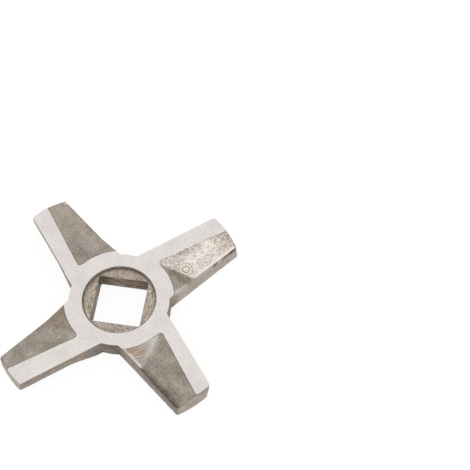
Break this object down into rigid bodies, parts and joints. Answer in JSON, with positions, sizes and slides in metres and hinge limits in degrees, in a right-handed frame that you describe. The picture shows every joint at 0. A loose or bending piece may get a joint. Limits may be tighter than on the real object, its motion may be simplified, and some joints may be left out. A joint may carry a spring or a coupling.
{
  "type": "meat grinder knife",
  "caption": "Cast stainless star knife for a meat grinder: tapered arms with ground cutting lands, a ground hub ring, a round recess and a square drive hole.",
  "frame": {"origin": "on the drive axis at the back face", "axes": "+Z along the drive axis, out of the ground cutting face; X and Y square to the flats of the drive hole"},
  "size_m": [0.0434, 0.0434, 0.0046],
  "materials": {
    "cast_stainless": "ground bright on the front ring and lands, grey-brown as cast elsewhere"
  },
  "bodies": {
    "root": {"grinder_knife": "cast_stainless"}
  },
  "joints": []
}
